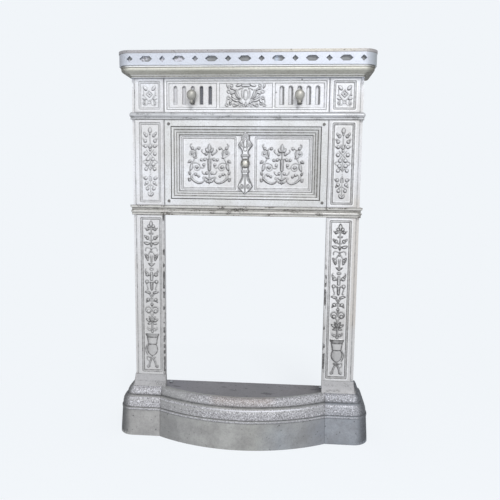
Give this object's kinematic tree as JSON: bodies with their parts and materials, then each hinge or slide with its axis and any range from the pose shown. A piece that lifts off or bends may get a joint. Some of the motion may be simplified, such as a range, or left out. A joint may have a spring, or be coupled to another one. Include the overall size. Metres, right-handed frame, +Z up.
{
  "type": "miniature fireplace surround",
  "caption": "Small cast-iron fireplace front with panelled columns, bowed hearth fender, framed lintel, lifting hot-air shutters in the frieze and a shelf on a pierced cornice.",
  "frame": {"origin": "on the floor at the middle of the width and of the depth, in the front plane of the columns", "axes": "+X to the right seen from the front, +Y to the back, +Z up"},
  "size_m": [0.209, 0.06, 0.3125],
  "materials": {
    "silver_iron": "silvered, worn bright on the relief with dark dirt in the hollows",
    "base_iron": "bare grey iron, pitted on the mouldings",
    "hearth_iron": "dark rough iron",
    "plain_steel": "plain, slightly tarnished",
    "polished_metal": "polished, warm"
  },
  "bodies": {
    "surround": {"left_plinth": "base_iron", "right_plinth": "base_iron", "bow_fender": "base_iron", "fender_bolts": "plain_steel", "fender_nuts": "plain_steel", "hearth_plate": "hearth_iron", "hearth_screws": "plain_steel", "left_jamb": "silver_iron", "right_jamb": "silver_iron", "lower_rail": "silver_iron", "left_lintel_block": "silver_iron", "right_lintel_block": "silver_iron", "lintel_frame": "silver_iron", "lintel_screws": "polished_metal", "lintel_panel": "silver_iron", "panel_clips": "plain_steel", "clip_screws": "plain_steel", "centre_strap": "silver_iron", "strap_boss": "polished_metal", "strap_nut": "plain_steel", "mid_rail": "silver_iron", "left_frieze_block": "silver_iron", "right_frieze_block": "silver_iron", "frieze_plate": "silver_iron", "frieze_screws": "plain_steel", "left_shutter_guides": "plain_steel", "right_shutter_guides": "plain_steel", "guide_screws": "plain_steel", "cornice": "silver_iron", "shelf_plate": "silver_iron", "shelf_screws": "plain_steel", "left_tie_rod": "plain_steel", "right_tie_rod": "plain_steel", "tie_rod_nuts": "plain_steel", "tie_rod_washers": "plain_steel"},
    "left_register": {"left_shutter": "silver_iron", "left_pull": "polished_metal", "left_pull_nut": "plain_steel"},
    "right_register": {"right_shutter": "silver_iron", "right_pull": "polished_metal", "right_pull_nut": "plain_steel"}
  },
  "joints": [
    {"name": "left_shutter_lift", "type": "slide", "parent": "surround", "child": "left_register", "axis": [0, 0, 1], "range_m": [0, 0.008]},
    {"name": "right_shutter_lift", "type": "slide", "parent": "surround", "child": "right_register", "axis": [0, 0, 1], "range_m": [0, 0.008]}
  ]
}
